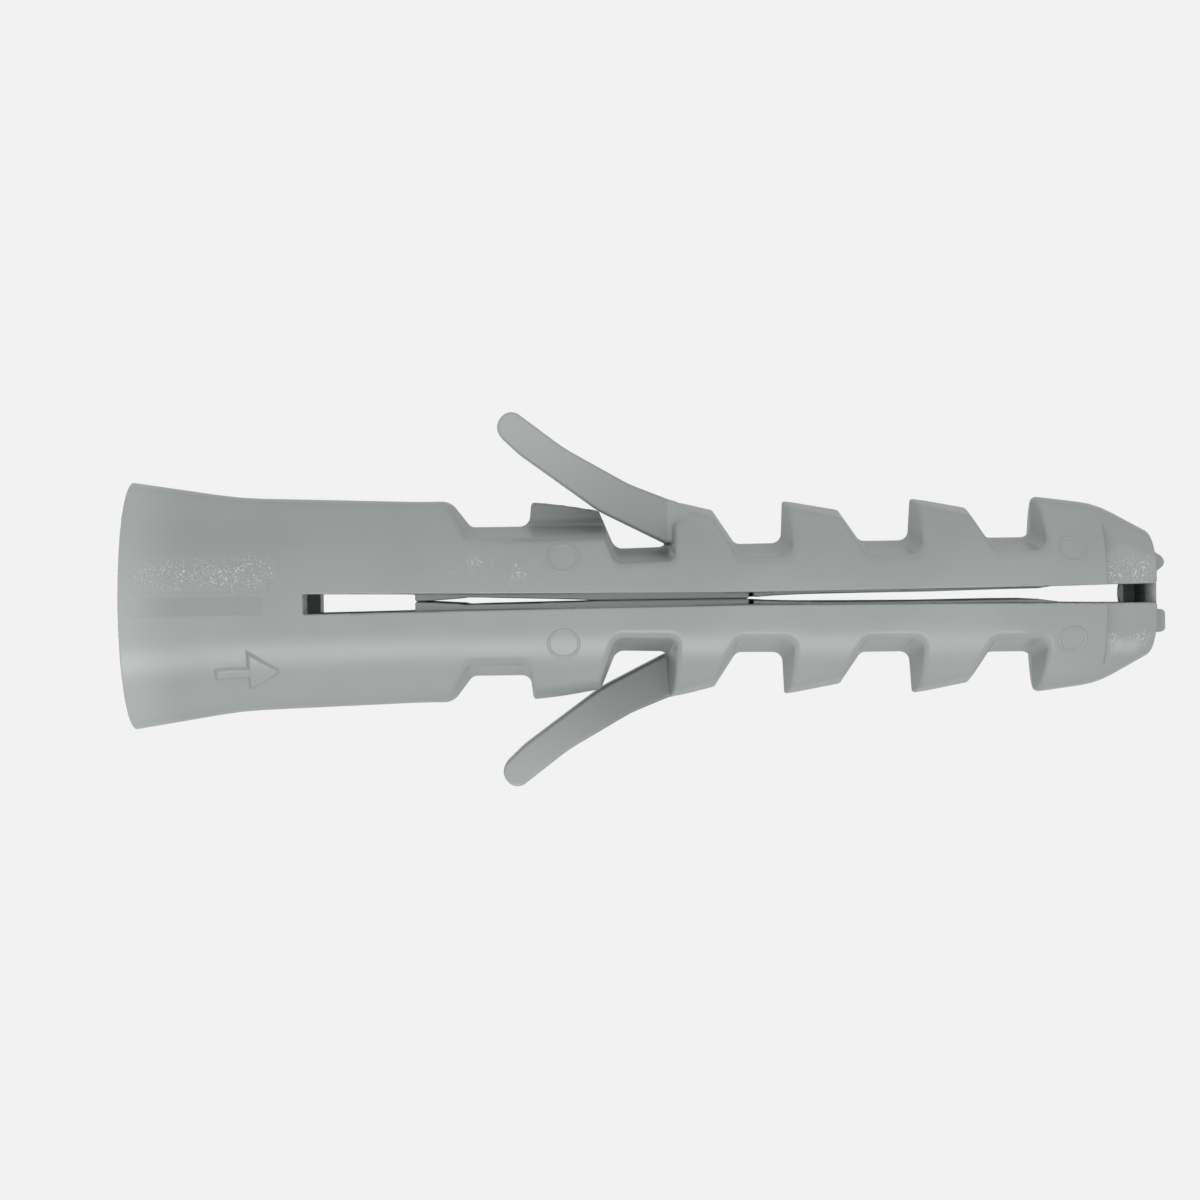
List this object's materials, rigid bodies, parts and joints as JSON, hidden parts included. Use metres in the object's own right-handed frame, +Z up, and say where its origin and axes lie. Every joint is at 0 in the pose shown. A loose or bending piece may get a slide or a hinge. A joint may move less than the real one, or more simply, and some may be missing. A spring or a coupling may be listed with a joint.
{
  "type": "wall anchor",
  "caption": "Nylon expansion plug with a flared neck, a lengthwise slot between two barbed legs and two springy anti-rotation tongues that fold into recesses.",
  "frame": {"origin": "centre of the rim's entry face, where the screw goes in; flush with the wall when the plug is set", "axes": "+X along the plug from the rim to the tip, +Y to the upper leg and its tongue, +Z up, square to the slot's plane"},
  "size_m": [0.0404, 0.0146, 0.0096],
  "materials": {
    "nylon": "matte, moulded, light grey"
  },
  "bodies": {
    "neck": {"neck_sleeve": "nylon"},
    "upper_leg_body": {"upper_leg": "nylon", "upper_tip_web": "nylon"},
    "lower_leg_body": {"lower_leg": "nylon", "lower_tip_web": "nylon"},
    "upper_tongue_root_body": {"upper_tongue_root": "nylon"},
    "upper_tongue_tip_body": {"upper_tongue_tip": "nylon"},
    "lower_tongue_root_body": {"lower_tongue_root": "nylon"},
    "lower_tongue_tip_body": {"lower_tongue_tip": "nylon"}
  },
  "joints": [
    {"name": "upper_leg_spread", "type": "hinge", "parent": "neck", "child": "upper_leg_body", "pos_m": [0.00709, 0.00406, 0], "axis": [0, 0, 1], "range_deg": [0, 5], "stiffness_Nm_per_rad": 3},
    {"name": "lower_leg_spread", "type": "hinge", "parent": "neck", "child": "lower_leg_body", "pos_m": [0.00709, -0.00406, 0], "axis": [0, 0, -1], "range_deg": [0, 5], "stiffness_Nm_per_rad": 3},
    {"name": "upper_tongue_fold", "type": "hinge", "parent": "upper_leg_body", "child": "upper_tongue_root_body", "pos_m": [0.02061, 0.00226, 0.00127], "axis": [0, 0, 1], "range_deg": [0, 8], "stiffness_Nm_per_rad": 0.08},
    {"name": "upper_tongue_bend", "type": "hinge", "parent": "upper_tongue_root_body", "child": "upper_tongue_tip_body", "pos_m": [0.01829, 0.00341, 0.00127], "axis": [0, 0, 1], "range_deg": [0, 26], "stiffness_Nm_per_rad": 0.05},
    {"name": "lower_tongue_fold", "type": "hinge", "parent": "lower_leg_body", "child": "lower_tongue_root_body", "pos_m": [0.02061, -0.00226, -0.00127], "axis": [0, 0, -1], "range_deg": [0, 8], "stiffness_Nm_per_rad": 0.08},
    {"name": "lower_tongue_bend", "type": "hinge", "parent": "lower_tongue_root_body", "child": "lower_tongue_tip_body", "pos_m": [0.01829, -0.00341, -0.00127], "axis": [0, 0, -1], "range_deg": [0, 26], "stiffness_Nm_per_rad": 0.05}
  ],
  "couplings": [
    {"joint": "lower_leg_spread", "follows": "upper_leg_spread", "ratio": 1},
    {"joint": "upper_tongue_bend", "follows": "upper_tongue_fold", "ratio": 3.25},
    {"joint": "lower_tongue_bend", "follows": "lower_tongue_fold", "ratio": 3.25}
  ]
}
